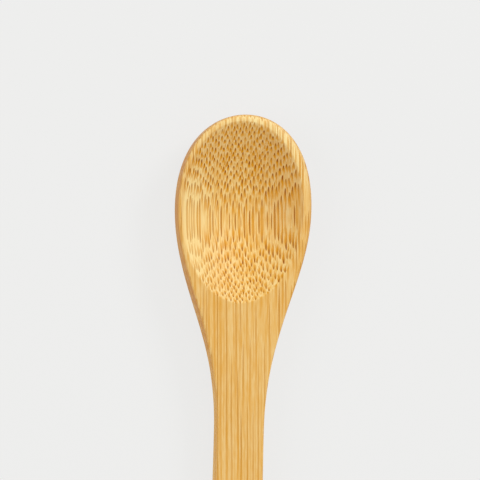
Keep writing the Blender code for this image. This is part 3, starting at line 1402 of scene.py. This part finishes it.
        # The bundles on the left of the hollow show fainter, which pales it: partly the grain, partly
        # painted highlight on the wall that faces the key lamp.
        faint = self._left(bench, cut, self.faint_along)
        front = bench.step(*self.front_start, cut.y) - bench.step(*self.front_end, cut.y)
        strength = self.face_strength + (1.0 - self.face_strength) * cut.scooped
        strength = strength * (self.floor_strength + self.front_strength * front)
        strength = strength * (1.0 - self.faint_loss * faint)
        bared = bench.maths("MAXIMUM", cut.scooped, cut.wall)
        core_strength = strength * (self.face_core + (1.0 - self.face_core) * bared)
        return strength, core_strength * (1.0 - self.faint_core_loss * faint)

    def _wood(self, bench: Bench, cut: Cut, streaks: Value) -> Value:
        """The colour of the wood between the bundles.

        Args:
            bench: The material's nodes.
            cut: The surface.
            streaks: How pale its streaks are.

        Returns:
            The colour, with its tones, its wear, and its painted highlight and painted shade.
        """
        colour = bench.mix(streaks, self.ground, self.pale_ground)
        colour = bench.mix((1.0 - cut.scooped) * self.tone_share, colour, self.toned)
        # Painted shade: the right of the hollow's front, whose wall is turned away from the key lamp, takes
        # a deeper, warmer tint.
        painted_shade_tint = bench.step(*self.shade_tint_across, cut.x) * bench.step(*self.shade_tint_along, cut.y) * cut.scooped
        colour = bench.mix(painted_shade_tint * self.shade_tint_share, colour, self.arris)

        # The outer wall is darker, partly its own saw-cut tone and partly painted shade.
        # The front of the hollow, whose wall turns away from the key lamp, gets painted shade.
        bands = bench.step(*self.band_edge, self.bands.at(bench, cut.x, cut.y, cut.z))
        # Painted shade up the front of the hollow, in the wall's colour.
        high = bench.step(*self.front_shade_along, cut.y) * cut.scooped * self.front_shade_share
        wall_and_front_shade = bench.maths("MAXIMUM", cut.wall * (self.least_band + self.band_range * bands), high)
        colour = bench.mix(wall_and_front_shade * self.darkening_share, colour, self.wall)

        # The rim towards the tip and the left of the hollow are pale: partly worn wood, partly painted
        # highlight where the key lamp's light falls on them.
        rim = bench.step(*self.rim_along, cut.y) * bench.step(*self.rim_up, cut.z)
        rim = rim * (1.0 - cut.scooped * cut.scooped)
        rim = rim * (self.rim_left + (1.0 - self.rim_left) * bench.step(*self.rim_across, cut.x))
        rim_wear_and_sheen = rim * (self.least_wear_and_sheen + self.streak_wear_and_sheen * streaks)
        left_wear_and_sheen = self._left(bench, cut, self.left_wear_and_sheen_along) * self.left_wear_and_sheen_share
        return bench.mix(bench.maths("MAXIMUM", rim_wear_and_sheen, left_wear_and_sheen), colour, self.worn)


@dataclass(frozen=True)
class Table:
    """The plain pale table under the spoon.

    Attributes:
        size: Side of the square that is shown.
        colour: The table's own colour.
        shown_plain: How much of its colour the camera gets without light and shadow.
        clearance: How far the table lies under the spoon's sole, so that the two don't mingle.
    """

    size: float = 6.0
    colour: Colour = paint(238, 238, 237)
    shown_plain: float = 0.89
    clearance: float = 0.02 * MM

    def build(self) -> bpy.types.Object:
        """Lay the table's surface under the spoon.

        Returns:
            The table.
        """
        deselect_all()
        bpy.ops.mesh.primitive_plane_add(size=self.size, location=(0.0, 0.0, -self.clearance))
        table = bpy.context.object
        table.name = "table"
        table.data.materials.append(self._material())
        return table

    def _material(self) -> bpy.types.Material:
        """Make a matt pale surface that shows the camera a softened shadow.

        Returns:
            The material.
        """
        material = bpy.data.materials.new("pale_table")
        bench = Bench(material)
        matt = bench.value("ShaderNodeBsdfDiffuse", {}, {"Color": self.colour})
        plain = bench.value("ShaderNodeEmission", {}, {"Color": self.colour, "Strength": 1.0})
        seen = bench.value("ShaderNodeLightPath", {}, {}, "Is Camera Ray")
        mixed = bench.value("ShaderNodeMixShader", {}, {0: seen * self.shown_plain, 1: matt, 2: plain})
        bench.finish("ShaderNodeOutputMaterial", mixed)
        return material


@dataclass(frozen=True)
class Lamp:
    """A square soft lamp aimed at the bowl.

    Attributes:
        azimuth: Where it stands, in degrees clockwise from +Y.
        height: How high it stands, in degrees over the table.
        power: Its power in watts.
        distance: From the aimed point to the lamp.
        size: Side of its square.
    """

    azimuth: float
    height: float
    power: float
    distance: float = 0.8
    size: float = 0.3

    def build(self, name: str, aim: Vector) -> None:
        """Place the lamp.

        Args:
            name: The lamp's name.
            aim: The point that it is aimed at.
        """
        data = bpy.data.lights.new(name, "AREA")
        data.shape = "SQUARE"
        data.size = self.size
        data.energy = self.power
        lamp = bpy.data.objects.new(name, data)
        bpy.context.scene.collection.objects.link(lamp)
        azimuth = math.radians(self.azimuth)
        height = math.radians(self.height)
        level = math.cos(height)
        away = Vector((math.sin(azimuth) * level, math.cos(azimuth) * level, math.sin(height)))
        lamp.location = aim + away * self.distance
        lamp.rotation_euler = away.to_track_quat("Z", "Y").to_euler()


@dataclass(frozen=True)
class Studio:
    """Soft light from the upper right, a weaker one from the left, an even room, and the camera.

    Attributes:
        aim: The point in the middle of the picture.
        distance: From that point to the camera.
        lean: How far the camera stands over to the left, in degrees.
        roll: How far the picture is turned clockwise on the spoon, in degrees.
        view_width: Width of the picture at the aimed point.
        sensor: Width of the camera's sensor, in millimetres.
        nearest: What is closer to the camera than this isn't shown.
        room: Strength of the room's even light.
        light_colour: Colour of that light.
        room_colour: What the camera sees of the room.
        key: The lamp that casts the shadow.
        fill: The lamp that softens it.
    """

    aim: tuple[float, float, float] = (-0.53 * MM, 26.6 * MM, 5.0 * MM)
    distance: float = 300.0 * MM
    lean: float = 11.0
    roll: float = 0.9
    view_width: float = 70.6 * MM
    sensor: float = 36.0
    nearest: float = 10.0 * MM
    room: float = 0.50
    light_colour: Colour = paint(255, 255, 255)
    room_colour: Colour = paint(237, 237, 236)
    key: Lamp = Lamp(azimuth=46.0, height=38.0, power=3.36)
    fill: Lamp = Lamp(azimuth=-90.0, height=40.0, power=2.0, size=0.5)

    def build(self) -> None:
        """Set up the camera, the two lamps and the room's light."""
        self._camera()
        self.key.build("key", Vector(self.aim))
        self.fill.build("fill", Vector(self.aim))
        self._room()
        bpy.context.scene.view_settings.view_transform = "Standard"

    def _camera(self) -> None:
        """Place the camera and make it the scene's."""
        data = bpy.data.cameras.new("camera")
        data.sensor_width = self.sensor
        data.lens = self.sensor * self.distance / self.view_width
        data.clip_start = self.nearest
        camera = bpy.data.objects.new("camera", data)
        bpy.context.scene.collection.objects.link(camera)
        turn = Matrix.Rotation(math.radians(-self.lean), 4, "Y")
        turn = turn @ Matrix.Rotation(math.radians(self.roll), 4, "Z")
        back = Matrix.Translation((0.0, 0.0, self.distance))
        camera.matrix_world = Matrix.Translation(self.aim) @ turn @ back
        bpy.context.scene.camera = camera

    def _room(self) -> None:
        """Light the scene evenly, and show the camera a pale room."""
        world = bpy.data.worlds.new("room")
        bpy.context.scene.world = world
        bench = Bench(world)
        light = bench.value("ShaderNodeBackground", {}, {"Color": self.light_colour, "Strength": self.room})
        shown = bench.value("ShaderNodeBackground", {}, {"Color": self.room_colour, "Strength": 1.0})
        seen = bench.value("ShaderNodeLightPath", {}, {}, "Is Camera Ray")
        mixed = bench.value("ShaderNodeMixShader", {}, {0: seen, 1: light, 2: shown})
        bench.finish("ShaderNodeOutputWorld", mixed)


def main() -> None:
    """Build the stage and the spoon, and report each piece."""
    logging.basicConfig(level=logging.INFO, format="%(name)s: %(message)s")
    Studio().build()
    LOG.info("camera and lights placed")
    Table().build()
    LOG.info("table laid")
    carving = CarvedSpoon()
    spoon = carving.build()
    carving.dress(spoon, BambooFinish())
    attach(spoon, "root")
    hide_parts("spoon")
    LOG.info("%s: %d faces", spoon.name, len(spoon.data.polygons))


if __name__ == "__main__":
    main()
